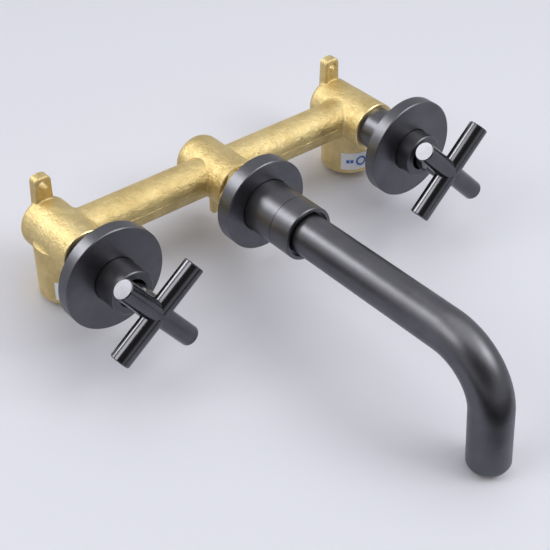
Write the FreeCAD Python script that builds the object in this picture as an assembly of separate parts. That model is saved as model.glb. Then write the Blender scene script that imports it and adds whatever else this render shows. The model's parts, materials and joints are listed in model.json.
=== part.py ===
import FreeCAD, Part
import math
import os

# Wall mounted bath faucet: a brass rough-in manifold with two quarter-turn valves,
# cross handles, sliding wall flanges and a bent spout.
#
# Frame: +X to the right of a person facing the faucet, +Z up, and the wall is the
# plane y = 0. Everything stands in front of the wall, at negative y, so places along
# that way are given as a depth, which is the distance in front of the wall.
# The origin is on the wall, on the axis of the spout. Sizes are millimetres.

V = FreeCAD.Vector

# ---------------------------------------------------------------- driving dimensions
# Manifold
VALVE_SPACING = 200.0        # between the axes of the two valves
BODY_R = 14.7                # the three horizontal bodies
BODY_LENGTH = 44.0           # from the wall to the front rim
VALVE_BACK_ROUND = 4.0       # rounding of the back edge of a valve body
SPOUT_BACK_ROUND = 7.0       # rounding of the back edge of the spout body
RIM_CHAMFER = 0.5
PIPE_R = 11.2
PIPE_WALL = 2.5
PIPE_DEPTH = 21.6            # axis of the cross pipes, in front of the wall
PIPE_SADDLE = 2.1            # how far a cross pipe's end sinks into a body

# Inlets, threaded for three-quarter inch supply pipes
INLET_R = 16.2               # at its open face
INLET_TOP_R = 16.8           # at its upper end, wider by the casting's draft
INLET_TOP_DROP = 0.5         # from the body's axis down to its upper end
INLET_DROP = 33.3            # from the body's axis down to the inlet's face
INLET_BORE_R = 12.06
INLET_BORE_LENGTH = 16.0
INLET_ROUND = 2.0
INLET_TOP_ROUND = 0.8

# Lugs for the wall screws
LUG_WIDTH = 9.8              # at its free end
LUG_FLARE = 1.6              # how much wider it is at the body's axis
LUG_THICKNESS = 5.8
LUG_TOP = 28.6
LUG_CORNER = 3.4
LUG_ROUND = 1.3
LUG_HOLE_R = 2.9
LUG_HOLE_EDGE = 5.0          # from the free end to the middle of the hole
LUG_BLEND = 1.2              # fillet where a wall lug grows out of its body
FOOT_LUG_THICKNESS = 3.6
FOOT_LUG_CORNER = 1.4
FOOT_LUG_DROP = 26.0
FOOT_LUG_DEPTH = 23.2        # middle of the lower lug, in front of the wall
FOOT_LUG_HOLE_R = 2.1

# Water ways inside the valve bodies
BACK_CHAMBER_R = 9.0
BACK_CHAMBER_START = 4.6
SEAT_START = 14.6
SEAT_FACE = 17.6
SEAT_PORT_R = 4.6
DUCT_R = 4.2
DUCT_DEPTH = 10.6
CHAMBER_R = 9.6
CHAMBER_END = 29.6
SIDE_PORT_R = 5.0

# Valve cartridge
SEAL_THICKNESS = 1.5
DISC_THICKNESS = 2.5
DISC_R = 6.9
DISC_PORT_R = 1.9
DISC_PORT_OFFSET = 3.9
SHELL_R = 8.4
SHELL_BORE_R = 7.15
THREAD_R = 10.2
CARTRIDGE_SEAT = 37.6        # ledge in the body where the cartridge's collar stops
CARTRIDGE_COLLAR_R = 11.6
CARTRIDGE_COLLAR = 2.5
CARTRIDGE_HEX = 17.0         # across flats
CARTRIDGE_HEX_LENGTH = 7.5
NECK_R = 7.4
NECK_END = 61.6
SPINDLE_R = 4.0
DRIVE_PLATE = 3.0
SPINDLE_END = 95.6
SPLINE_START = 65.6
SPLINE_TEETH = 20
SPLINE_DEPTH = 0.45
STEM_RING_R = 1.0            # section radius of the spindle's O-rings
STEM_RING_DEPTHS = (32.2, 37.2)
BODY_RING_R = 0.7            # section radius of the cartridge's O-ring
CLIP_SEAT = 0.9              # how deep the clip sits in the spindle
CLIP_RIM = 2.0               # how far it stands out
CLIP_THICKNESS = 1.0
CLIP_MOUTH = 4.0

# Sleeve that covers the cartridge and carries the wall flange
SLEEVE_R = 12.3
SLEEVE_WALL = 1.9
SLEEVE_START = 40.3
SLEEVE_END = 84.6
SLEEVE_FACE = 3.0            # thickness of its front face
SLEEVE_MOUTH_GAP = 1.3       # open ring between its mouth and the handle's hub

# Cross handle
HUB_R = 6.8
HUB_START = 71.6
HUB_BORE_END = 96.6
ARM_R = 5.6
ARM_REACH = 30.0             # from the handle's axis to the end of an arm
ARM_DEPTH = 104.8
ARM_CHAMFER = 0.5
GRUB_R = 2.0
GRUB_DEPTH = 91.9
GRUB_SOCKET = 2.0            # across flats of its hexagon socket
GRUB_SOCKET_DEPTH = 1.4
GRUB_SCREW_TURN = 45.0        # from one arm of the cross, so halfway to the next
LEFT_HANDLE_TURN = 37.8      # degrees the handles stand turned, as the valves rest
RIGHT_HANDLE_TURN = 134.4

# Wall flanges
VALVE_FLANGE_R = 29.1
VALVE_FLANGE_THICKNESS = 7.5
LEFT_FLANGE_FRONT = 69.3
RIGHT_FLANGE_FRONT = 74.9
SPOUT_FLANGE_R = 26.3
SPOUT_FLANGE_THICKNESS = 9.0
SPOUT_FLANGE_FRONT = 66.3
FLANGE_FACE = 2.4
FLANGE_RIM = 2.0
FLANGE_BOSS = 3.6            # radial thickness of the boss round its bore
GRIP_RING_R = 0.9            # section radius of the rubber ring in its bore

# Spout connection
CONNECTOR_START = 29.6
CONNECTOR_THREAD_R = 11.5
CONNECTOR_HEX_LENGTH = 4.0
CONNECTOR_END = 93.6
NUT_THREAD_LENGTH = 8.0
NUT_THREAD_HEIGHT = 0.3
WATER_R = 8.0
SPIGOT_R = 8.92
SPIGOT_BORE_R = 5.2
SPIGOT_START = 57.6
SPIGOT_FLANGE = 2.5
SPIGOT_STUB = 7.8
SPIGOT_RING_R = 1.15
SPIGOT_RING_DEPTHS = (65.6, 76.6)
COLLAR_GAP = 1.6             # open ring between the spout and the collar's mouth
COLLAR_WALL = 2.1
COLLAR_THREAD_WALL = 2.0
COLLAR_SEAM = 87.6
COLLAR_END = 101.35
NUT_LIP = 1.9
WASHER_THICKNESS = 0.8

# Spout
SPOUT_R = 11.6
SPOUT_WALL = 1.5
SPOUT_REACH = 234.5          # from the wall to the axis of the outlet
SPOUT_BEND_R = 31.5
SPOUT_DROP = 67.9            # from the spout's axis down to the outlet
SPOUT_LEAN = 4.2             # degrees the spout stands turned, its outlet towards +X
TIP_TAPER = 1.2              # how much narrower the tube gets towards its open end
TIP_TAPER_LENGTH = 2.4
AERATOR_RECESS = 0.6
AERATOR_LENGTH = 10.0
AERATOR_WALL = 1.6
INSERT_LENGTH = 7.0
INSERT_HOLE_R = 0.7
INSERT_RINGS = ((2.4, 6), (5.2, 12))

# Labels on the inlets
LABEL_THICKNESS = 0.15
LABEL_LOW = 29.9             # drop of its lower edge below the body's axis
LABEL_HIGH = 18.5
LABEL_HALF_ANGLE = 57.0

# Clearances
RUNNING = 0.08               # a shaft in its bore
LOOSE = 0.4                  # trim that passes over its neighbour
RING_GAP = 0.3               # rubber grip ring on its sleeve
FACE_GAP = 0.05              # faces that turn on each other

LEFT = -VALVE_SPACING / 2
RIGHT = VALVE_SPACING / 2
SADDLE_R = BODY_R - PIPE_SADDLE
COLLAR_R = SPOUT_R + COLLAR_GAP + COLLAR_WALL
NUT_THREAD_R = COLLAR_R - COLLAR_THREAD_WALL
CONNECTOR_R = NUT_THREAD_R - NUT_THREAD_HEIGHT


# ---------------------------------------------------------------- shape helpers
def turned(profile, x=0.0, z=0.0):
    """Solid of revolution about the line along Y at x, z, from (depth, radius) points."""
    points = [V(x + radius, -depth, z) for depth, radius in profile]
    face = Part.Face(Part.makePolygon(points + points[:1]))
    return face.revolve(V(x, 0, z), V(0, 1, 0), 360)


def rod(radius, start, end, x=0.0, z=0.0):
    """Cylinder along Y between two depths."""
    return Part.makeCylinder(radius, end - start, V(x, -start, z), V(0, -1, 0))


def sleeve(outer, inner, start, end, x=0.0):
    """Plain ring along Y between two depths."""
    return rod(outer, start, end, x).cut(rod(inner, start - 1, end + 1, x))


def bar(radius, start, end):
    """Cylinder between two points."""
    return Part.makeCylinder(radius, (end - start).Length, start, end - start)


def ring(section_r, ring_r, depth, x=0.0):
    """O-ring about the Y direction."""
    return Part.makeTorus(ring_r, section_r, V(x, -depth, 0), V(0, 1, 0))


def hexagon(flats, start, end, x=0.0):
    """Hexagonal bar along Y between two depths."""
    corner = flats / math.sqrt(3)
    points = [V(x + corner * math.cos(math.radians(60 * i)), -start,
                corner * math.sin(math.radians(60 * i))) for i in range(6)]
    return Part.Face(Part.makePolygon(points + points[:1])).extrude(V(0, start - end, 0))


def round_edges(shape, radius, chosen):
    """Fillet the edges that chosen(edge) picks."""
    return shape.makeFillet(radius, [edge for edge in shape.Edges if chosen(edge)])


def edges_at(depth):
    """Pick the edges in the plane at a depth."""
    def chosen(edge):
        box = edge.BoundBox
        return abs(box.YMin + depth) < 1e-4 and abs(box.YMax + depth) < 1e-4
    return chosen


def turn(shape, degrees, x=0.0):
    """Turn a shape about the line along Y at x; positive takes +X towards +Z."""
    shape = shape.copy()
    shape.rotate(V(x, 0, 0), V(0, 1, 0), -degrees)
    return shape


def ring_groove(ring_r, section_r, depth):
    """Depth limits of the groove that an O-ring lies in."""
    return depth - section_r - RUNNING, depth + section_r + RUNNING


# ---------------------------------------------------------------- manifold
def lug(x, back, front, top, corner, hole_r):
    """Upright ear from the body's axis with a screw hole along Y. It points down if top < 0."""
    way = 1 if top > 0 else -1
    half = LUG_WIDTH / 2
    foot = half + LUG_FLARE / 2
    points = [V(x - foot, -back, 0), V(x - half, -back, top),
              V(x + half, -back, top), V(x + foot, -back, 0)]
    ear = Part.Face(Part.makePolygon(points + points[:1])).extrude(V(0, back - front, 0))
    ear = round_edges(ear, corner, lambda edge: edge.BoundBox.ZLength < 1e-4
                      and edge.BoundBox.XLength < 1e-4 and abs(edge.BoundBox.ZMax) > 1e-4)
    in_front = edges_at(front)
    ear = round_edges(ear, LUG_ROUND, lambda edge: in_front(edge)
                      and max(edge.BoundBox.ZMax, -edge.BoundBox.ZMin) > 1e-4)
    return ear.cut(rod(hole_r, back - 1, front + 1, x, top - way * LUG_HOLE_EDGE))


def body_blank(x, back_round):
    """Solid horizontal body with a rounded back edge and a chamfered front rim."""
    blank = turned([(0, 0), (0, BODY_R), (BODY_LENGTH - RIM_CHAMFER, BODY_R),
                    (BODY_LENGTH, BODY_R - RIM_CHAMFER), (BODY_LENGTH, 0)], x)
    return round_edges(blank, back_round, edges_at(0))


def pipe_socket(x, way):
    """Hole in a body for the end of a cross pipe, with a saddle at its bottom."""
    hole = bar(PIPE_R, V(x, -PIPE_DEPTH, 0), V(x + way * 2 * BODY_R, -PIPE_DEPTH, 0))
    return hole.cut(rod(SADDLE_R, 0, BODY_LENGTH, x))


def inlet_radius(drop):
    """Outer radius of an inlet at a drop below the body's axis."""
    share = (drop - INLET_TOP_DROP) / (INLET_DROP - INLET_TOP_DROP)
    return INLET_TOP_R + (INLET_R - INLET_TOP_R) * share


def inlet_slice(x, low, high, grow=0.0, angle=360):
    """Tapered solid in the shape of an inlet between two drops."""
    return Part.makeCone(inlet_radius(low) + grow, inlet_radius(high) + grow, low - high,
                         V(x, -PIPE_DEPTH, -low), V(0, 0, 1), angle)


def inlet_blank(x):
    post = inlet_slice(x, INLET_DROP, INLET_TOP_DROP)
    post = round_edges(post, INLET_ROUND, lambda edge: edge.BoundBox.ZMax < 1e-4 - INLET_DROP)
    return round_edges(post, INLET_TOP_ROUND, lambda edge: edge.BoundBox.ZMin
                       > -INLET_TOP_DROP - 1e-4)


def blend_lug(body):
    """Fillet where the wall lug grows out of the top of the body."""
    in_front = edges_at(LUG_THICKNESS)
    return round_edges(body, LUG_BLEND, lambda edge: in_front(edge)
                       and edge.BoundBox.ZMax < BODY_R + 1e-4)


def valve_body(x):
    way = -1 if x > 0 else 1
    body = body_blank(x, VALVE_BACK_ROUND)
    body = body.fuse(inlet_blank(x))
    body = body.fuse(lug(x, 0, LUG_THICKNESS, LUG_TOP, LUG_CORNER, LUG_HOLE_R))
    body = blend_lug(body)
    body = body.cut(turned([(BACK_CHAMBER_START, 0), (BACK_CHAMBER_START, BACK_CHAMBER_R),
                            (SEAT_START, BACK_CHAMBER_R), (SEAT_START, SEAT_PORT_R),
                            (SEAT_FACE, SEAT_PORT_R), (SEAT_FACE, CHAMBER_R),
                            (CHAMBER_END, CHAMBER_R), (CHAMBER_END, THREAD_R),
                            (CARTRIDGE_SEAT, THREAD_R), (CARTRIDGE_SEAT, SLEEVE_R),
                            (BODY_LENGTH + 1, SLEEVE_R), (BODY_LENGTH + 1, 0)], x))
    body = body.cut(pipe_socket(x, way))
    port_depth = (SEAT_FACE + CHAMBER_END) / 2
    body = body.cut(bar(SIDE_PORT_R, V(x, -port_depth, 0), V(x + way * BODY_R, -port_depth, 0)))
    bore_top = INLET_BORE_LENGTH - INLET_DROP
    body = body.cut(Part.makeCylinder(INLET_BORE_R, INLET_BORE_LENGTH + 1,
                                      V(x, -PIPE_DEPTH, -INLET_DROP - 1)))
    return body.cut(bar(DUCT_R, V(x, -DUCT_DEPTH, bore_top - 1), V(x, -DUCT_DEPTH, 0)))


def spout_body():
    body = body_blank(0, SPOUT_BACK_ROUND)
    foot_start = FOOT_LUG_DEPTH - FOOT_LUG_THICKNESS / 2
    body = body.fuse(lug(0, foot_start, foot_start + FOOT_LUG_THICKNESS, -FOOT_LUG_DROP,
                         FOOT_LUG_CORNER, FOOT_LUG_HOLE_R))
    body = body.cut(turned([(PIPE_DEPTH - CHAMBER_R, 0), (PIPE_DEPTH - CHAMBER_R, CHAMBER_R),
                            (CONNECTOR_START, CHAMBER_R),
                            (CONNECTOR_START, CONNECTOR_THREAD_R),
                            (BODY_LENGTH + 1, CONNECTOR_THREAD_R), (BODY_LENGTH + 1, 0)]))
    port_r = PIPE_R - PIPE_WALL
    body = body.cut(bar(port_r, V(-BODY_R, -PIPE_DEPTH, 0), V(BODY_R, -PIPE_DEPTH, 0)))
    return body.cut(pipe_socket(0, -1)).cut(pipe_socket(0, 1))


def cross_pipe(x):
    """Pipe between the spout body and the valve body at x."""
    ends = V(0, -PIPE_DEPTH, 0), V(x, -PIPE_DEPTH, 0)
    pipe = bar(PIPE_R, *ends).cut(bar(PIPE_R - PIPE_WALL, *ends))
    return pipe.cut(rod(SADDLE_R, 0, BODY_LENGTH)).cut(rod(SADDLE_R, 0, BODY_LENGTH, x))


def inlet_label(x):
    """Thin sticker wrapped round the front of an inlet."""
    wedge = inlet_slice(x, LABEL_LOW, LABEL_HIGH, LABEL_THICKNESS, 2 * LABEL_HALF_ANGLE)
    wedge.rotate(V(x, -PIPE_DEPTH, 0), V(0, 0, 1), -90 - LABEL_HALF_ANGLE)
    return wedge.cut(inlet_slice(x, LABEL_LOW, LABEL_HIGH))


# ---------------------------------------------------------------- valve cartridge
FIXED_DISC_START = SEAT_FACE + SEAL_THICKNESS
MOVING_DISC_START = FIXED_DISC_START + DISC_THICKNESS + FACE_GAP
DRIVE_PLATE_START = MOVING_DISC_START + DISC_THICKNESS
STEM_BORE_START = DRIVE_PLATE_START + DRIVE_PLATE + 4 * FACE_GAP
STEM_RING_BORE_R = SPINDLE_R + STEM_RING_R + RUNNING
NECK_BORE_START = STEM_RING_DEPTHS[-1] + 3 * STEM_RING_R
COLLAR_FRONT = CARTRIDGE_SEAT + CARTRIDGE_COLLAR
BODY_RING_DEPTH = CARTRIDGE_SEAT - BODY_RING_R


def cartridge_body(x):
    hex_end = COLLAR_FRONT + CARTRIDGE_HEX_LENGTH
    groove_start = BODY_RING_DEPTH - BODY_RING_R
    groove_r = THREAD_R - 2 * BODY_RING_R
    outside = turned([(FIXED_DISC_START, 0), (FIXED_DISC_START, SHELL_R),
                      (CHAMBER_END, SHELL_R), (CHAMBER_END, THREAD_R),
                      (groove_start, THREAD_R), (groove_start, groove_r),
                      (CARTRIDGE_SEAT, groove_r), (CARTRIDGE_SEAT, CARTRIDGE_COLLAR_R),
                      (COLLAR_FRONT, CARTRIDGE_COLLAR_R), (COLLAR_FRONT, NECK_R),
                      (NECK_END, NECK_R), (NECK_END, 0)], x)
    body = outside.fuse(hexagon(CARTRIDGE_HEX, COLLAR_FRONT, hex_end, x))
    body = body.cut(turned([(FIXED_DISC_START - 1, 0), (FIXED_DISC_START - 1, SHELL_BORE_R),
                            (STEM_BORE_START, SHELL_BORE_R),
                            (STEM_BORE_START, STEM_RING_BORE_R),
                            (NECK_BORE_START, STEM_RING_BORE_R),
                            (NECK_BORE_START, SPINDLE_R + RUNNING),
                            (NECK_END + 1, SPINDLE_R + RUNNING), (NECK_END + 1, 0)], x))
    window_depth = (MOVING_DISC_START + DRIVE_PLATE_START) / 2
    window = bar(DISC_THICKNESS, V(x - BODY_R, -window_depth, 0), V(x + BODY_R, -window_depth, 0))
    return body.cut(window)


def seat_seal(x):
    return sleeve(SHELL_R - LOOSE, SEAT_PORT_R, SEAT_FACE, FIXED_DISC_START, x)


def ceramic_disc(x, start, clock):
    """Ceramic disc with two ports, standing turned by clock degrees."""
    disc = rod(DISC_R, start, start + DISC_THICKNESS, x)
    for side in (-1, 1):
        disc = disc.cut(rod(DISC_PORT_R, start - 1, start + DISC_THICKNESS + 1,
                            x, side * DISC_PORT_OFFSET))
    return turn(disc, clock, x)


def cartridge_o_ring(x):
    return ring(BODY_RING_R, THREAD_R - BODY_RING_R, BODY_RING_DEPTH, x)


def spline(x):
    """Toothed end of the spindle."""
    points = []
    for i in range(2 * SPLINE_TEETH):
        radius = SPINDLE_R - SPLINE_DEPTH * (i % 2)
        angle = math.pi * i / SPLINE_TEETH
        points.append(V(x + radius * math.cos(angle), -SPLINE_START, radius * math.sin(angle)))
    face = Part.Face(Part.makePolygon(points + points[:1]))
    return face.extrude(V(0, SPLINE_START - SPINDLE_END, 0))


def spindle(x):
    plate_end = DRIVE_PLATE_START + DRIVE_PLATE
    plate_r = SHELL_BORE_R - LOOSE
    stem = turned([(DRIVE_PLATE_START, 0), (DRIVE_PLATE_START, plate_r),
                   (plate_end, plate_r), (plate_end, SPINDLE_R),
                   (SPLINE_START, SPINDLE_R), (SPLINE_START, 0)], x)
    for depth in STEM_RING_DEPTHS:
        start, end = ring_groove(SPINDLE_R, STEM_RING_R, depth)
        stem = stem.cut(sleeve(SPINDLE_R + 1, SPINDLE_R - STEM_RING_R, start, end, x))
    clip_start = NECK_END + FACE_GAP
    stem = stem.cut(sleeve(SPINDLE_R + 1, SPINDLE_R - CLIP_SEAT, clip_start,
                           clip_start + CLIP_THICKNESS + 2 * FACE_GAP, x))
    return stem.fuse(spline(x))


def spindle_o_rings(x):
    return Part.makeCompound([ring(STEM_RING_R, SPINDLE_R, depth, x)
                              for depth in STEM_RING_DEPTHS])


def spindle_clip(x):
    """Open retaining ring in the groove in front of the cartridge's neck."""
    start = NECK_END + 2 * FACE_GAP
    clip_r = SPINDLE_R + CLIP_RIM
    clip = sleeve(clip_r, SPINDLE_R - CLIP_SEAT, start, start + CLIP_THICKNESS, x)
    mouth = Part.makeBox(CLIP_MOUTH, 2 * CLIP_THICKNESS + 2, clip_r + 1,
                         V(x - CLIP_MOUTH / 2, -start - CLIP_THICKNESS - 1, -clip_r - 1))
    return clip.cut(mouth)


def valve_sleeve(x):
    face_start = SLEEVE_END - SLEEVE_FACE
    bore_r = SLEEVE_R - SLEEVE_WALL
    hole_r = HUB_R + SLEEVE_MOUTH_GAP
    return turned([(SLEEVE_START, bore_r), (SLEEVE_START, SLEEVE_R),
                   (SLEEVE_END - RIM_CHAMFER, SLEEVE_R), (SLEEVE_END, SLEEVE_R - RIM_CHAMFER),
                   (SLEEVE_END, hole_r), (face_start, hole_r), (face_start, bore_r)], x)


# ---------------------------------------------------------------- handle
def handle_cross(x, degrees):
    """Hub and four round arms. One arm points along +X before the handle is turned."""
    cross = rod(HUB_R, HUB_START, ARM_DEPTH - ARM_R / 2, x)
    for way in (V(1, 0, 0), V(0, 0, 1)):
        centre = V(x, -ARM_DEPTH, 0)
        arm = bar(ARM_R, centre - way * ARM_REACH, centre + way * ARM_REACH)
        arm = arm.makeChamfer(ARM_CHAMFER, [e for e in arm.Edges if len(e.Vertexes) == 1])
        cross = cross.fuse(arm)
    cross = cross.cut(rod(SPINDLE_R, HUB_START - 1, HUB_BORE_END, x))
    cross = turn(cross, degrees, x)
    return cross.cut(grub_screw_line(x, degrees, 0, GRUB_R))


def grub_screw_line(x, degrees, start, radius):
    """Cylinder along the screw, midway between two arms, from start out past the hub."""
    angle = math.radians(degrees + GRUB_SCREW_TURN)
    way = V(math.cos(angle), 0, math.sin(angle))
    centre = V(x, -GRUB_DEPTH, 0)
    return bar(radius, centre + way * start, centre + way * (HUB_R + 1))


def grub_screw(x, degrees):
    """Headless screw from the spindle out to just under the hub's surface."""
    angle = math.radians(degrees + GRUB_SCREW_TURN)
    way = V(math.cos(angle), 0, math.sin(angle))
    across = V(-math.sin(angle), 0, math.cos(angle))
    centre = V(x, -GRUB_DEPTH, 0)
    outer = centre + way * (HUB_R - LOOSE)
    screw = bar(GRUB_R, centre + way * SPINDLE_R, outer)
    corner = GRUB_SOCKET / math.sqrt(3)
    points = []
    for i in range(6):
        side = across * (corner * math.cos(math.radians(60 * i)))
        rise = V(0, corner * math.sin(math.radians(60 * i)), 0)
        points.append(outer + side + rise)
    socket = Part.Face(Part.makePolygon(points + points[:1]))
    return screw.cut(socket.extrude(way * -GRUB_SOCKET_DEPTH))


# ---------------------------------------------------------------- wall flanges
def flange(x, radius, thickness, front, bore_of):
    """Dished cover plate with a boss that slides on a sleeve of radius bore_of."""
    back = front - thickness
    bore_r = bore_of + LOOSE
    boss_r = bore_r + FLANGE_BOSS
    plate_back = front - FLANGE_FACE
    rim_r = radius - FLANGE_RIM
    dish = turned([(front, bore_r), (front, radius - RIM_CHAMFER),
                   (front - RIM_CHAMFER, radius), (back, radius), (back, rim_r),
                   (plate_back, rim_r), (plate_back, boss_r), (back, boss_r),
                   (back, bore_r)], x)
    middle = (front + back) / 2
    start, end = ring_groove(bore_r, GRIP_RING_R, middle)
    groove_r = bore_of + RING_GAP + 2 * GRIP_RING_R
    return dish.cut(sleeve(groove_r, bore_of, start, end, x))


def grip_ring(x, thickness, front, bore_of):
    """Rubber ring in the flange's bore that holds it where it is put."""
    return ring(GRIP_RING_R, bore_of + RING_GAP + GRIP_RING_R, front - thickness / 2, x)


# ---------------------------------------------------------------- spout connection
def spout_connector():
    """Threaded nipple from the spout body out to the collar nut."""
    hex_end = BODY_LENGTH + CONNECTOR_HEX_LENGTH
    thread_start = CONNECTOR_END - NUT_THREAD_LENGTH
    outside = turned([(CONNECTOR_START, 0), (CONNECTOR_START, CONNECTOR_THREAD_R),
                      (BODY_LENGTH, CONNECTOR_THREAD_R), (BODY_LENGTH, CONNECTOR_R),
                      (thread_start, CONNECTOR_R), (thread_start, NUT_THREAD_R),
                      (CONNECTOR_END, NUT_THREAD_R), (CONNECTOR_END, 0)])
    outside = outside.fuse(hexagon(2 * CONNECTOR_R, BODY_LENGTH, hex_end))
    return outside.cut(turned([(CONNECTOR_START - 1, 0), (CONNECTOR_START - 1, WATER_R),
                               (SPIGOT_START, WATER_R), (SPIGOT_START, SPIGOT_R + RUNNING),
                               (CONNECTOR_END + 1, SPIGOT_R + RUNNING),
                               (CONNECTOR_END + 1, 0)]))


def collar_sleeve():
    start = BODY_LENGTH + CONNECTOR_HEX_LENGTH
    return sleeve(COLLAR_R, NUT_THREAD_R, start, COLLAR_SEAM)


FLANGE_START = CONNECTOR_END + FACE_GAP
FLANGE_END = FLANGE_START + SPIGOT_FLANGE
LIP_START = FLANGE_END + WASHER_THICKNESS + FACE_GAP


def collar_nut():
    """Front part of the collar, screwed on the connector to hold the spout in."""
    lip_end = LIP_START + NUT_LIP
    lip_r = SPOUT_R + LOOSE
    mouth_r = SPOUT_R + COLLAR_GAP
    return turned([(COLLAR_SEAM, NUT_THREAD_R), (COLLAR_SEAM, COLLAR_R),
                   (COLLAR_END - RIM_CHAMFER, COLLAR_R), (COLLAR_END, COLLAR_R - RIM_CHAMFER),
                   (COLLAR_END, mouth_r), (lip_end, mouth_r), (lip_end, lip_r),
                   (LIP_START, lip_r), (LIP_START, NUT_THREAD_R)])


def spout_spigot():
    """Plug at the back end of the spout that seals in the connector."""
    stub_end = FLANGE_END + SPIGOT_STUB
    stub_r = SPOUT_R - SPOUT_WALL
    start = SPIGOT_START + FACE_GAP
    collar_r = NUT_THREAD_R - LOOSE
    plug = turned([(start, SPIGOT_BORE_R), (start, SPIGOT_R), (FLANGE_START, SPIGOT_R),
                   (FLANGE_START, collar_r), (FLANGE_END, collar_r), (FLANGE_END, stub_r),
                   (stub_end, stub_r), (stub_end, SPIGOT_BORE_R)])
    for depth in SPIGOT_RING_DEPTHS:
        start, end = ring_groove(SPIGOT_R, SPIGOT_RING_R, depth)
        plug = plug.cut(sleeve(SPIGOT_R + 1, SPIGOT_R - 2 * SPIGOT_RING_R, start, end))
    return turn(plug, SPOUT_LEAN)


def spout_o_rings():
    return Part.makeCompound([ring(SPIGOT_RING_R, SPIGOT_R - SPIGOT_RING_R, depth)
                              for depth in SPIGOT_RING_DEPTHS])


def spout_washer():
    return sleeve(NUT_THREAD_R - LOOSE, SPOUT_R + LOOSE, FLANGE_END,
                  FLANGE_END + WASHER_THICKNESS)


# ---------------------------------------------------------------- spout
def bent_rod(radius, start, drop):
    """Solid that follows the spout's centre line from a depth down to a drop."""
    bend_depth = SPOUT_REACH - SPOUT_BEND_R
    elbow_face = Part.Face(Part.Wire(Part.makeCircle(radius, V(0, -bend_depth, 0), V(0, 1, 0))))
    elbow = elbow_face.revolve(V(0, -bend_depth, -SPOUT_BEND_R), V(1, 0, 0), 90)
    leg = Part.makeCylinder(radius, drop - SPOUT_BEND_R, V(0, -SPOUT_REACH, -drop))
    return rod(radius, start, bend_depth).fuse(elbow).fuse(leg)


def spout_tube():
    taper_start = SPOUT_DROP - TIP_TAPER_LENGTH
    tip = Part.makeCone(SPOUT_R - TIP_TAPER, SPOUT_R, TIP_TAPER_LENGTH,
                        V(0, -SPOUT_REACH, -SPOUT_DROP))
    outside = bent_rod(SPOUT_R, FLANGE_END, taper_start).fuse(tip)
    inside = bent_rod(SPOUT_R - SPOUT_WALL, FLANGE_END - 1, SPOUT_DROP + 1)
    return turn(outside.cut(inside), SPOUT_LEAN)


def outlet_rod(radius, low, high):
    """Cylinder on the outlet's axis between two drops below the spout's axis."""
    return Part.makeCylinder(radius, low - high, V(0, -SPOUT_REACH, -low))


AERATOR_R = SPOUT_R - SPOUT_WALL
AERATOR_LOW = SPOUT_DROP - AERATOR_RECESS
AERATOR_HIGH = AERATOR_LOW - AERATOR_LENGTH
INSERT_R = AERATOR_R - AERATOR_WALL


def aerator_housing():
    housing = outlet_rod(AERATOR_R, AERATOR_LOW, AERATOR_HIGH)
    return turn(housing.cut(outlet_rod(INSERT_R, AERATOR_LOW + 1, AERATOR_HIGH - 1)), SPOUT_LEAN)


def aerator_insert():
    low = AERATOR_LOW - AERATOR_RECESS
    insert = outlet_rod(INSERT_R, low, low - INSERT_LENGTH)
    holes = [outlet_rod(INSERT_HOLE_R, low + 1, low - INSERT_LENGTH - 1)]
    for ring_r, count in INSERT_RINGS:
        for i in range(count):
            angle = 2 * math.pi * i / count
            hole = outlet_rod(INSERT_HOLE_R, low + 1, low - INSERT_LENGTH - 1)
            hole.translate(V(ring_r * math.cos(angle), ring_r * math.sin(angle), 0))
            holes.append(hole)
    return turn(insert.cut(Part.makeCompound(holes)), SPOUT_LEAN)


def aerator_washer():
    high = AERATOR_HIGH - SEAL_THICKNESS
    washer = outlet_rod(AERATOR_R, AERATOR_HIGH, high)
    return turn(washer.cut(outlet_rod(INSERT_R, AERATOR_HIGH + 1, high - 1)), SPOUT_LEAN)


# ---------------------------------------------------------------- assembly
def valve_nodes(side, x, handle_turn, flange_front):
    """All pieces of one valve, by node name."""
    nodes = {
        "valve_body": valve_body(x),
        "cross_pipe": cross_pipe(x),
        "inlet_label": inlet_label(x),
        "cartridge_body": cartridge_body(x),
        "cartridge_o_ring": cartridge_o_ring(x),
        "seat_seal": seat_seal(x),
        "fixed_disc": ceramic_disc(x, FIXED_DISC_START, 0),
        "moving_disc": ceramic_disc(x, MOVING_DISC_START, 90),
        "spindle": spindle(x),
        "spindle_o_rings": spindle_o_rings(x),
        "spindle_clip": spindle_clip(x),
        "valve_sleeve": valve_sleeve(x),
        "handle_cross": handle_cross(x, handle_turn),
        "grub_screw": grub_screw(x, handle_turn),
        "flange": flange(x, VALVE_FLANGE_R, VALVE_FLANGE_THICKNESS, flange_front, SLEEVE_R),
        "grip_ring": grip_ring(x, VALVE_FLANGE_THICKNESS, flange_front, SLEEVE_R),
    }
    return {f"{side}_{name}": shape for name, shape in nodes.items()}


def spout_nodes():
    return {
        "spout_body": spout_body(),
        "spout_connector": spout_connector(),
        "collar_sleeve": collar_sleeve(),
        "collar_nut": collar_nut(),
        "spout_flange": flange(0, SPOUT_FLANGE_R, SPOUT_FLANGE_THICKNESS, SPOUT_FLANGE_FRONT,
                               COLLAR_R),
        "spout_grip_ring": grip_ring(0, SPOUT_FLANGE_THICKNESS, SPOUT_FLANGE_FRONT, COLLAR_R),
        "spout_spigot": spout_spigot(),
        "spout_o_rings": spout_o_rings(),
        "spout_washer": spout_washer(),
        "spout_tube": spout_tube(),
        "aerator_housing": aerator_housing(),
        "aerator_insert": aerator_insert(),
        "aerator_washer": aerator_washer(),
    }


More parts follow.
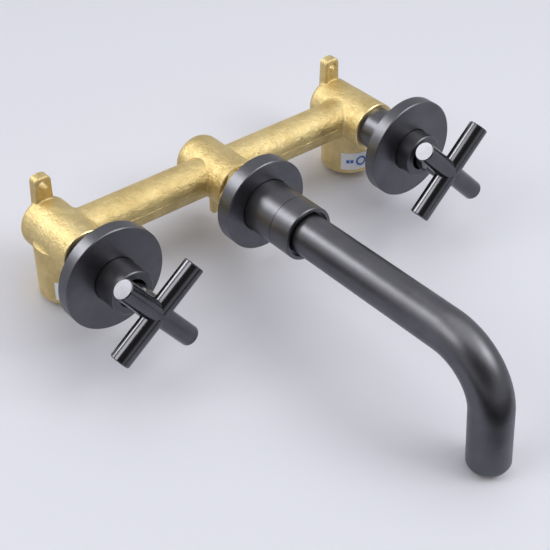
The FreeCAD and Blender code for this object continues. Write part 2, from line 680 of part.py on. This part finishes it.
def main():
    nodes = valve_nodes("left", LEFT, LEFT_HANDLE_TURN, LEFT_FLANGE_FRONT)
    nodes.update(valve_nodes("right", RIGHT, RIGHT_HANDLE_TURN, RIGHT_FLANGE_FRONT))
    nodes.update(spout_nodes())
    os.makedirs("parts", exist_ok=True)
    for name, shape in nodes.items():
        shape.exportStep(f"parts/{name}.step")
        print(name, "solids", len(shape.Solids), "valid", shape.isValid(),
              "volume", round(shape.Volume, 1))


main()
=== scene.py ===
import json
import math

import bpy
from mathutils import Matrix, Vector, noise


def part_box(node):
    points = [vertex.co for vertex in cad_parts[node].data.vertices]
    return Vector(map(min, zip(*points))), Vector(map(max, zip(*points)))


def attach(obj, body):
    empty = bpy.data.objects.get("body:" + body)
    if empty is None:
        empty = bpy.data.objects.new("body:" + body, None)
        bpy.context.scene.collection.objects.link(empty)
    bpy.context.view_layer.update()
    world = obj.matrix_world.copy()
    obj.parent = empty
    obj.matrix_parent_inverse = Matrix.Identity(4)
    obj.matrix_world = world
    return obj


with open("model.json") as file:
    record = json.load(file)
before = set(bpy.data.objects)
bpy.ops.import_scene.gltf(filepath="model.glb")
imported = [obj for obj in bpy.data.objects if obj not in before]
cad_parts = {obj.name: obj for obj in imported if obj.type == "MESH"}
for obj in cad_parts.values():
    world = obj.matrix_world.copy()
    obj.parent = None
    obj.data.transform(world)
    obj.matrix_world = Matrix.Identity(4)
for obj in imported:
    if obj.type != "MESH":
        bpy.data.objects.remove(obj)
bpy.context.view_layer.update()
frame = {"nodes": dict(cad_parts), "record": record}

MM = 0.001

# The camera looks down on the faucet from its front left.
CAMERA_AZIMUTH = -39.4
CAMERA_ELEVATION = 37.1
CAMERA_DISTANCE = 0.7686
CAMERA_AIM = Vector((-0.0066, -0.0816, -0.0351))
CAMERA_LENS = 92.2
CAMERA_SENSOR = 36.0
CAMERA_CLIP = 0.01

# A pale floor that fades into the pale world, and a painted reflection of it that only the finishes
# see: paler than the floor, and painted dark past a front edge.
FLOOR_HALF = 1.2
FLOOR_FADE = (0.50, 0.85)
FLOOR_COLOUR = (0.775, 0.78, 0.835)
# Painted reflection: its pale colour, where its painted dark part starts, and that dark colour.
PAINTED_REFLECTION_COLOUR = (0.86, 0.865, 0.92)
PAINTED_DARK_EDGE = 0.140                    # from the floor's middle, past the front of the view
PAINTED_DARK_EDGE_BLUR = 0.04
PAINTED_DARK_EDGE_AZIMUTH = -18.0
PAINTED_DARK_REFLECTION = (0.02, 0.02, 0.02)
FLOOR_DROP = 0.1 * MM                 # below the points that it touches
INLET_FOOT = 14.2 * MM                # the points that rest on it, behind the inlets' axes
TIP_FOOT = 22.0 * MM                  # and behind the front of the spout

# A pale room with one unlit side.
ROOM_COLOUR = (0.93, 0.94, 1.0, 1)
ROOM_STRENGTH = 0.56
UNLIT_SIDE = (-0.506, -0.616, 0.603)
UNLIT_COLOUR = (0.12, 0.12, 0.13, 1)
UNLIT_SPREAD = (0.70, 0.88)           # cosines from the unlit side where it starts and is full

# Soft boxes: name, direction from the faucet, distance, size, brightness, highlights only.
LIGHTS_AIM = Vector((0, -0.1, 0))
SOFT_BOXES = (
    ("soft_box", (-0.429, 0.686, 0.588), 1.3, (0.38, 0.6), 7.0, True),
    ("left_box", (-0.72, 0.10, 0.68), 1.2, (0.6, 0.6), 3.0, False),
    ("overhead", (0.20, -0.25, 1.0), 1.2, (1.6, 1.6), 0.85, False),
    ("front_box", (0.49, -0.62, 0.61), 1.3, (0.6, 0.6), 3.6, False),
)

# Details of the castings.
VALVE_FILLET = 2.4 * MM
CENTRE_FILLET = 0.4 * MM
FILLET_STEPS = 120
FILLET_ARC_STEPS = 8
FILLET_SUNK = 0.03 * MM               # how far its edges lie inside the surfaces it joins
PIPE_FLASH = (0.22 * MM, 0.45 * MM)   # height and half width of each ridge of flash
VALVE_FLASH = (0.20 * MM, 0.45 * MM)
CENTRE_FLASH = (0.18 * MM, 0.4 * MM)
FLASH_SUNK = 0.05 * MM
FLASH_PROFILE = ((-1, 0), (-0.45, 0.75), (0, 1), (0.45, 0.75), (1, 0))
FLASH_TAPER_STEPS = 4
FLASH_END_GAP = 1.0 * MM
LEDGE_ROUND = 0.35 * MM
LEDGE_DROP = 0.75 * MM
LEDGE_RISE = 3.0 * MM
MACHINED_RIM = 0.7 * MM
MACHINED_FACE = 0.5 * MM
SEAM_HALF_WIDTH = 0.22 * MM

# Plain printed shapes on the labels, in mm along the label from its front.
LABEL_BARS = ((-13.2, -11.3), (-10.8, -8.9), (2.0, 10.5))
LABEL_BAR_HALF = 1.1
LABEL_RING_AT = -4.2
LABEL_RING_RADII = (2.1, 2.65, 3.2)
LABEL_TAPER = 0.018                   # of the inlet that it is stuck to
INK_LIFT = 0.04 * MM

# What the extra pieces follow, read from the frame.
pipe_low, pipe_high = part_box("left_cross_pipe")
centre_low, centre_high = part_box("spout_body")
valve_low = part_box("left_valve_body")[0]
PIPE_R = (pipe_high.z - pipe_low.z) / 2
PIPE_Y = (pipe_high.y + pipe_low.y) / 2
BODY_R = centre_high.z
BODY_FRONT = centre_low.y
cartridge_low, cartridge_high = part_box("right_cartridge_body")
VALVE_X = (cartridge_low.x + cartridge_high.x) / 2
INLET_FACE = valve_low.z
COLLAR_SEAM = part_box("collar_nut")[1].y
INLET_TOP_R = -VALVE_X - valve_low.x


# ---------------------------------------------------------------- node helpers
class Nodes:
    """Short way to build a material's node tree."""

    def __init__(self, name):
        self.material = bpy.data.materials.new(name)
        self.material.use_nodes = True
        self.tree = self.material.node_tree
        self.tree.nodes.clear()
        self.output = self.add("OutputMaterial")
        self.shader = self.add("BsdfPrincipled")
        self.link(self.shader, "BSDF", self.output, "Surface")
        self.place = self.add("TexCoord")

    def add(self, kind, **inputs):
        node = self.tree.nodes.new("ShaderNode" + kind)
        for name, value in inputs.items():
            node.inputs[name.replace("_", " ")].default_value = value
        return node

    def link(self, source, out, target, into):
        self.tree.links.new(source.outputs[out], target.inputs[into])

    def noise(self, scale, detail, roughness, stretch=None):
        """Noise in the frame's own coordinates, drawn out along an axis by stretch."""
        node = self.add("TexNoise", Scale=scale, Detail=detail, Roughness=roughness)
        if stretch:
            mapping = self.add("Mapping", Scale=stretch)
            self.link(self.place, "Object", mapping, "Vector")
            self.link(mapping, "Vector", node, "Vector")
        else:
            self.link(self.place, "Object", node, "Vector")
        return node

    def ramp(self, source, out, *stops):
        """Colour ramp over a factor, from (position, colour or grey) stops."""
        node = self.add("ValToRGB")
        elements = node.color_ramp.elements
        while len(elements) < len(stops):
            elements.new(0.5)
        for element, (position, colour) in zip(elements, stops):
            element.position = position
            element.color = (*colour, 1.0) if isinstance(colour, tuple) else (*[colour] * 3, 1.0)
        self.link(source, out, node, "Fac")
        return node

    def math(self, operation, *operands):
        """Math node; each operand is a number or a (node, output) pair."""
        node = self.add("Math")
        node.operation = operation
        for index, operand in enumerate(operands):
            if isinstance(operand, tuple):
                self.tree.links.new(operand[0].outputs[operand[1]], node.inputs[index])
            else:
                node.inputs[index].default_value = operand
        return (node, "Value")

    def mix(self, factor, first, second):
        """Mix two colours; each is a (node, output) pair or a colour."""
        node = self.add("Mix")
        node.data_type = "RGBA"
        self.tree.links.new(factor[0].outputs[factor[1]], node.inputs[0])
        for index, colour in ((6, first), (7, second)):
            if isinstance(colour[0], bpy.types.Node):
                self.tree.links.new(colour[0].outputs[colour[1]], node.inputs[index])
            else:
                node.inputs[index].default_value = (*colour, 1.0)
        return (node, "Result")

    def set(self, name, value):
        """Give the shader's socket a number, a colour or a (node, output) pair."""
        socket = self.shader.inputs[name]
        if isinstance(value, tuple) and isinstance(value[0], bpy.types.Node):
            self.tree.links.new(value[0].outputs[value[1]], socket)
        elif isinstance(value, tuple):
            socket.default_value = (*value, 1.0)
        else:
            socket.default_value = value

    def bump(self, source, distance, strength, under=None):
        """Bump from a (node, output) pair, over another bump if one is given."""
        node = self.add("Bump", Distance=distance, Strength=strength)
        self.tree.links.new(source[0].outputs[source[1]], node.inputs["Height"])
        if under:
            self.link(under, "Normal", node, "Normal")
        return node


# ---------------------------------------------------------------- materials
def machined_mask(n):
    """1 on the turned rims and the inlets' faces of the castings."""
    split = n.add("SeparateXYZ")
    n.link(n.place, "Object", split, "Vector")
    rim = n.math("LESS_THAN", (split, "Y"), BODY_FRONT + MACHINED_RIM)
    outer = n.math("GREATER_THAN", n.math("ABSOLUTE", (split, "X")), VALVE_X / 2)
    rim = n.math("MULTIPLY", rim, outer)
    face = n.math("LESS_THAN", (split, "Z"), INLET_FACE + MACHINED_FACE)
    return n.math("MAXIMUM", rim, face)


def cast_brass():
    n = Nodes("cast_brass")
    machined = machined_mask(n)
    stain = n.noise(45, 5, 0.65)
    grain = n.noise(1100, 3, 0.65)
    lumps = n.noise(260, 3, 0.6)
    colour = n.ramp(stain, "Fac", (0.30, (0.58, 0.44, 0.19)), (0.5, (0.74, 0.585, 0.275)),
                    (0.70, (0.84, 0.69, 0.355)))
    pits = n.ramp(grain, "Fac", (0.26, 0.0), (0.42, 1.0))
    speckled = n.mix((pits, "Color"), (0.60, 0.43, 0.18), (colour, "Color"))
    n.set("Base Color", n.mix(machined, speckled, (0.86, 0.69, 0.36)))
    n.set("Metallic", 1.0)
    rough = n.ramp(lumps, "Fac", (0.3, 0.42), (0.7, 0.56))
    n.set("Roughness", n.mix(machined, (rough, "Color"), (0.34, 0.34, 0.34)))
    low = n.bump((lumps, "Fac"), 0.0008, 0.9)
    fine = n.bump((grain, "Fac"), 0.0003, 1.0, low)
    calm = n.add("Mix")
    calm.data_type = "VECTOR"
    normal = n.add("NewGeometry")
    n.tree.links.new(machined[0].outputs[machined[1]], calm.inputs[0])
    n.link(fine, "Normal", calm, 4)
    n.link(normal, "Normal", calm, 5)
    n.set("Normal", (calm, 1))
    return n.material


def turned_brass():
    n = Nodes("machined_brass")
    lathe = n.noise(700, 2, 0.5, stretch=(0.15, 6.0, 0.15))
    colour = n.ramp(lathe, "Fac", (0.3, (0.80, 0.60, 0.27)), (0.7, (0.90, 0.72, 0.37)))
    n.set("Base Color", (colour, "Color"))
    n.set("Metallic", 1.0)
    rough = n.ramp(lathe, "Fac", (0.3, 0.18), (0.7, 0.30))
    n.set("Roughness", (rough, "Color"))
    n.set("Normal", (n.bump((lathe, "Fac"), 0.00006, 0.5), "Normal"))
    return n.material


def gunmetal(name, shade, smooth, rough, grain_size, grain_height, seam=None):
    """Dark plated finish: blasted grain, faint clouding, wear, and grime in a seam."""
    n = Nodes(name)
    cloud = n.noise(70, 4, 0.6)
    grain = n.noise(grain_size, 3, 0.6)
    tint = (shade, shade, shade * 1.08)
    colour = n.ramp(cloud, "Fac", (0.25, tuple(c * 0.86 for c in tint)),
                    (0.75, tuple(c * 1.14 for c in tint)))
    worn = n.ramp(grain, "Fac", (0.60, 0.0), (0.80, 0.35))
    plated = n.mix((worn, "Color"), (colour, "Color"), tuple(c * 1.8 for c in tint))
    if seam is not None:
        split = n.add("SeparateXYZ")
        n.link(n.place, "Object", split, "Vector")
        line = n.math("COMPARE", (split, "Y"), seam, SEAM_HALF_WIDTH)
        plated = n.mix(line, plated, tuple(c * 0.3 for c in tint))
    n.set("Base Color", plated)
    n.set("Metallic", 1.0)
    gloss = n.ramp(grain, "Fac", (0.3, smooth), (0.7, rough))
    n.set("Roughness", (gloss, "Color"))
    n.set("Normal", (n.bump((grain, "Fac"), grain_height, 0.6), "Normal"))
    return n.material


def steel():
    n = Nodes("steel")
    brushed = n.noise(500, 3, 0.6, stretch=(6.0, 0.4, 0.4))
    colour = n.ramp(brushed, "Fac", (0.3, (0.50, 0.50, 0.52)), (0.7, (0.68, 0.68, 0.70)))
    n.set("Base Color", (colour, "Color"))
    n.set("Metallic", 1.0)
    n.set("Roughness", (n.ramp(brushed, "Fac", (0.3, 0.20), (0.7, 0.34)), "Color"))
    n.set("Normal", (n.bump((brushed, "Fac"), 0.00003, 0.5), "Normal"))
    return n.material


def moulded(name, dark, light, rough_low, rough_high, grain_size, grain_height):
    """Non-metal with a fine moulded grain: rubber, plastic, ceramic or paper."""
    n = Nodes(name)
    grain = n.noise(grain_size, 3, 0.6)
    n.set("Base Color", (n.ramp(grain, "Fac", (0.3, dark), (0.7, light)), "Color"))
    n.set("Roughness", (n.ramp(grain, "Fac", (0.3, rough_low), (0.7, rough_high)), "Color"))
    n.set("Normal", (n.bump((grain, "Fac"), grain_height, 0.5), "Normal"))
    return n.material


MATERIALS = {
    "cast_brass": cast_brass(),
    "machined_brass": turned_brass(),
    "black_trim": gunmetal("black_trim", 0.15, 0.31, 0.42, 2600, 0.00003, COLLAR_SEAM),
    "black_handle": gunmetal("black_handle", 0.12, 0.16, 0.23, 1800, 0.000006),
    "steel": steel(),
    "ceramic": moulded("ceramic", (0.86, 0.86, 0.84), (0.93, 0.93, 0.91), 0.15, 0.25, 900,
                       0.00001),
    "rubber": moulded("rubber", (0.02, 0.02, 0.02), (0.04, 0.04, 0.04), 0.5, 0.7, 1500, 0.00004),
    "plastic": moulded("plastic", (0.62, 0.62, 0.60), (0.70, 0.70, 0.68), 0.3, 0.45, 1200,
                       0.00002),
    "inlet_label": moulded("inlet_label", (0.84, 0.86, 0.89), (0.90, 0.91, 0.93), 0.28, 0.40, 700,
                           0.00002),
}
LABEL_INK = moulded("label_ink", (0.02, 0.13, 0.50), (0.04, 0.18, 0.60), 0.3, 0.45, 900, 0.00002)
for part in frame["record"]["subparts"]:
    mesh = frame["nodes"][part["node"]].data
    mesh.materials.clear()
    mesh.materials.append(MATERIALS[part["material_slot"]])


# ---------------------------------------------------------------- extra pieces
def strip(name, rows, slot, closed=False, material=None):
    """Smooth surface through rows of points, which rides on the manifold."""
    width = len(rows[0])
    points = [point for row in rows for point in row]
    faces = []
    for i in range(len(rows) if closed else len(rows) - 1):
        following = (i + 1) % len(rows)
        for j in range(width - 1):
            faces.append((i * width + j, i * width + j + 1,
                          following * width + j + 1, following * width + j))
    mesh = bpy.data.meshes.new(name)
    mesh.from_pydata(points, [], faces)
    mesh.polygons.foreach_set("use_smooth", [True] * len(faces))
    mesh.materials.append(material or MATERIALS[slot])
    piece = bpy.data.objects.new(name, mesh)
    bpy.context.scene.collection.objects.link(piece)
    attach(piece, "manifold")


def wander(place, scale, amount):
    """Smooth repeatable irregularity at a place."""
    return amount * noise.noise(Vector(place) * scale)


def pipe_fillet(name, body_x, way, reach):
    """Concave bead of cast metal where a cross pipe meets a body."""
    rows = []
    for i in range(FILLET_STEPS):
        angle = 2 * math.pi * i / FILLET_STEPS
        grow = reach * (1 + wander((body_x, math.cos(angle), math.sin(angle)), 2.3, 0.35))
        z = PIPE_R * math.sin(angle)
        y = PIPE_Y + PIPE_R * math.cos(angle)
        corner = Vector((body_x + way * math.sqrt(BODY_R ** 2 - z ** 2), y, z))
        arc = BODY_R * math.asin(z / BODY_R) + grow * math.sin(angle)
        inner = BODY_R - FILLET_SUNK
        on_body = Vector((body_x + way * inner * math.cos(arc / BODY_R),
                          y + grow * math.cos(angle), inner * math.sin(arc / BODY_R)))
        lean = 1 - FILLET_SUNK / PIPE_R
        on_pipe = Vector((corner.x + way * grow, PIPE_Y + (y - PIPE_Y) * lean, z * lean))
        rows.append([on_body * (1 - t) ** 2 + corner * 2 * t * (1 - t) + on_pipe * t ** 2
                     for t in (k / FILLET_ARC_STEPS for k in range(FILLET_ARC_STEPS + 1))])
    strip(name, rows, "cast_brass", closed=True)


def ridge(name, path, out, along, height, width):
    """Thin uneven ridge of casting flash along a path of points on a surface."""
    rows = []
    side = Vector(out).cross(Vector(along)).normalized()
    for i, place in enumerate(path):
        place = Vector(place)
        ends = min(1.0, i / FLASH_TAPER_STEPS, (len(path) - 1 - i) / FLASH_TAPER_STEPS)
        lift = height * ends * (0.6 + abs(wander(place, 260, 1.6)))
        spread = width * (0.7 + abs(wander(place, 190, 1.2)))
        shift = side * wander(place, 120, 0.35 * MM)
        rows.append([place + shift + side * spread * across
                     + Vector(out) * (lift * rise - FLASH_SUNK)
                     for across, rise in FLASH_PROFILE])
    strip(name, rows, "cast_brass")


def ledge_blend(name, valve_x, way):
    """Cast blend that carries the inlet's ledge up onto the side of the valve body."""
    ledge_r = INLET_TOP_R - LEDGE_ROUND
    span = math.acos((BODY_R + 0.15 * MM) / ledge_r)
    rows = []
    for i in range(33):
        turn = span * (i / 16 - 1)
        out = ledge_r * math.cos(turn)
        y = PIPE_Y + ledge_r * math.sin(turn)
        rise = LEDGE_RISE * (out - BODY_R) / (ledge_r - BODY_R)
        rise = max(rise + wander((way, turn, 0), 5, 0.3 * MM), 0.2 * MM)
        row = []
        for k in range(7):
            t = k / 6
            height = -LEDGE_DROP + (rise + LEDGE_DROP) * t
            skin = math.sqrt(BODY_R ** 2 - height ** 2) - 0.05 * MM
            x = valve_x + way * (skin + (out - skin) * (1 - t) ** 2.2)
            row.append(Vector((x, y, height)))
        rows.append(row)
    strip(name, rows, "cast_brass")


def casting_details():
    for side, sign in (("left", -1), ("right", 1)):
        valve_x = sign * VALVE_X
        pipe_fillet(f"{side}_valve_fillet", valve_x, -sign, VALVE_FILLET)
        pipe_fillet(f"{side}_centre_fillet", 0.0, sign, CENTRE_FILLET)
        start, end = BODY_R + FLASH_END_GAP, VALVE_X - BODY_R - 1.5 * MM
        path = [(sign * (start + (end - start) * i / 90), PIPE_Y - PIPE_R, 0)
                for i in range(91)]
        ridge(f"{side}_pipe_flash", path, (0, -1, 0), (1, 0, 0), *PIPE_FLASH)
        ledge_blend(f"{side}_ledge_blend", valve_x, sign)
        for which, way in (("inner", -sign), ("outer", sign)):
            first = PIPE_Y - PIPE_R - 2.5 * MM
            last = BODY_FRONT + FLASH_END_GAP
            path = [(valve_x + way * BODY_R, first + (last - first) * i / 40, 0)
                    for i in range(41)]
            ridge(f"{side}_{which}_body_flash", path, (way, 0, 0), (0, 1, 0), *VALVE_FLASH)
    for which, way in (("left", -1), ("right", 1)):
        first, last = PIPE_Y - PIPE_R - 1.5 * MM, BODY_FRONT + FLASH_END_GAP
        path = [(way * BODY_R, first + (last - first) * i / 20, 0) for i in range(21)]
        ridge(f"centre_{which}_flash", path, (way, 0, 0), (0, 1, 0), *CENTRE_FLASH)


def label_marks():
    """Plain shapes printed in blue on the two inlet labels."""
    for side in ("left", "right"):
        low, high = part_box(f"{side}_inlet_label")
        centre_x = (low.x + high.x) / 2
        radius = PIPE_Y - low.y
        middle = (low.z + high.z) / 2

        def on_label(along, up):
            taper = 1 + (up - middle) * LABEL_TAPER / radius
            turn = math.radians(-90) + along / radius
            away = (radius + INK_LIFT) * taper
            return Vector((centre_x + away * math.cos(turn), PIPE_Y + away * math.sin(turn), up))

        for index, (start, end) in enumerate(LABEL_BARS):
            rows = [[on_label((start + (end - start) * i / 12) * MM,
                              middle + s * LABEL_BAR_HALF * MM)
                     for s in (-1, -0.5, 0, 0.5, 1)] for i in range(13)]
            strip(f"{side}_label_bar_{index}", rows, "inlet_label", material=LABEL_INK)
        rings = []
        for i in range(49):
            angle = 2 * math.pi * i / 48
            rings.append([on_label((LABEL_RING_AT + r * math.cos(angle)) * MM,
                                   middle + r * math.sin(angle) * MM)
                          for r in LABEL_RING_RADII])
        strip(f"{side}_label_ring", rings, "inlet_label", material=LABEL_INK)


casting_details()
label_marks()


# ---------------------------------------------------------------- camera
def add_camera():
    azimuth = math.radians(CAMERA_AZIMUTH)
    elevation = math.radians(CAMERA_ELEVATION)
    back = Vector((math.sin(azimuth) * math.cos(elevation),
                   -math.cos(azimuth) * math.cos(elevation), math.sin(elevation)))
    data = bpy.data.cameras.new("camera")
    data.lens = CAMERA_LENS
    data.sensor_width = CAMERA_SENSOR
    data.clip_start = CAMERA_CLIP
    camera = bpy.data.objects.new("camera", data)
    camera.location = CAMERA_AIM + back * CAMERA_DISTANCE
    camera.rotation_euler = back.to_track_quat("Z", "Y").to_euler()
    bpy.context.scene.collection.objects.link(camera)
    bpy.context.scene.camera = camera


# ---------------------------------------------------------------- stage and light
def floor_plane(name, spot, slope, colour):
    """Large tilted plane that fades out far away, and the nodes of its material."""
    mesh = bpy.data.meshes.new(name)
    corners = [(x * FLOOR_HALF, y * FLOOR_HALF, 0) for x, y in ((-1, -1), (1, -1), (1, 1), (-1, 1))]
    mesh.from_pydata(corners, [], [(0, 1, 2, 3)])
    plane = bpy.data.objects.new(name, mesh)
    plane.matrix_world = Matrix.Translation(spot) @ Matrix.Rotation(slope, 4, "X")
    bpy.context.scene.collection.objects.link(plane)
    n = Nodes(name)
    n.set("Base Color", colour)
    n.set("Roughness", 0.55)
    n.set("Specular IOR Level", 0.2)
    length = n.add("VectorMath")
    length.operation = "LENGTH"
    n.link(n.place, "Object", length, "Vector")
    fade = n.ramp(length, "Value", (FLOOR_FADE[0], 0.0), (FLOOR_FADE[1], 1.0))
    clear = n.add("BsdfTransparent")
    blend = n.add("MixShader")
    n.link(fade, "Color", blend, "Fac")
    n.link(n.shader, "BSDF", blend, 1)
    n.link(clear, "BSDF", blend, 2)
    n.link(blend, "Shader", n.output, "Surface")
    mesh.materials.append(n.material)
    return plane, n


def add_floor():
    """Pale floor that the two inlets and the spout's outlet rest on, faded out far away.

    The black finish reflects a second plane, seen only in reflections, in place of the floor. It is
    a painted reflection: painted paler than the floor, and painted dark past a front edge, standing
    in for the unlit room in front of a photographer's table.
    """
    tip_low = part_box("spout_tube")[0]
    inlet_back = Vector((0, PIPE_Y + INLET_FOOT, INLET_FACE))
    tip_back = Vector((0, tip_low.y + TIP_FOOT, tip_low.z))
    slope = math.atan2(inlet_back.z - tip_back.z, inlet_back.y - tip_back.y)
    spot = (inlet_back + tip_back) / 2 - Vector((0, 0, FLOOR_DROP))
    floor = floor_plane("floor", spot, slope, FLOOR_COLOUR)[0]
    floor.visible_glossy = False
    # Painted reflection: a plane seen only in reflections, in place of the floor.
    painted_reflection_plane, n = floor_plane("painted_floor_reflection", spot, slope, PAINTED_REFLECTION_COLOUR)
    painted_reflection_plane.visible_camera = False
    painted_reflection_plane.visible_diffuse = False
    painted_reflection_plane.visible_shadow = False
    # Painted dark reflection past a front edge, standing in for the unlit room.
    towards = math.radians(PAINTED_DARK_EDGE_AZIMUTH)
    front = n.add("VectorMath")
    front.operation = "DOT_PRODUCT"
    front.inputs[1].default_value = (math.sin(towards), -math.cos(towards), 0)
    n.link(n.place, "Object", front, "Vector")
    edge = n.ramp(front, "Value", (PAINTED_DARK_EDGE, PAINTED_REFLECTION_COLOUR),
                  (PAINTED_DARK_EDGE + PAINTED_DARK_EDGE_BLUR, PAINTED_DARK_REFLECTION))
    n.set("Base Color", (edge, "Color"))


def add_soft_box(name, direction, distance, size, radiance, highlights_only):
    """Soft box that faces the faucet from a direction, with the brightness of its face."""
    way = Vector(direction).normalized()
    data = bpy.data.lights.new(name, "AREA")
    data.shape = "RECTANGLE"
    data.size, data.size_y = size
    data.energy = radiance * math.pi * size[0] * size[1]
    light = bpy.data.objects.new(name, data)
    light.location = LIGHTS_AIM + way * distance
    light.rotation_euler = way.to_track_quat("Z", "Y").to_euler()
    light.visible_camera = False
    light.visible_diffuse = not highlights_only
    bpy.context.scene.collection.objects.link(light)


def add_light():
    world = bpy.data.worlds.new("studio")
    bpy.context.scene.world = world
    world.use_nodes = True
    nodes, links = world.node_tree.nodes, world.node_tree.links
    way = nodes.new("ShaderNodeTexCoord")
    near = nodes.new("ShaderNodeVectorMath")
    near.operation = "DOT_PRODUCT"
    near.inputs[1].default_value = UNLIT_SIDE
    room = nodes.new("ShaderNodeValToRGB")
    for element, position, colour in zip(room.color_ramp.elements, UNLIT_SPREAD,
                                         (ROOM_COLOUR, UNLIT_COLOUR)):
        element.position = position
        element.color = colour
    links.new(way.outputs["Generated"], near.inputs[0])
    links.new(near.outputs["Value"], room.inputs["Fac"])
    links.new(room.outputs["Color"], nodes["Background"].inputs["Color"])
    nodes["Background"].inputs["Strength"].default_value = ROOM_STRENGTH
    for soft_box in SOFT_BOXES:
        add_soft_box(*soft_box)


add_camera()
add_floor()
add_light()
bpy.context.scene.view_settings.view_transform = "Standard"
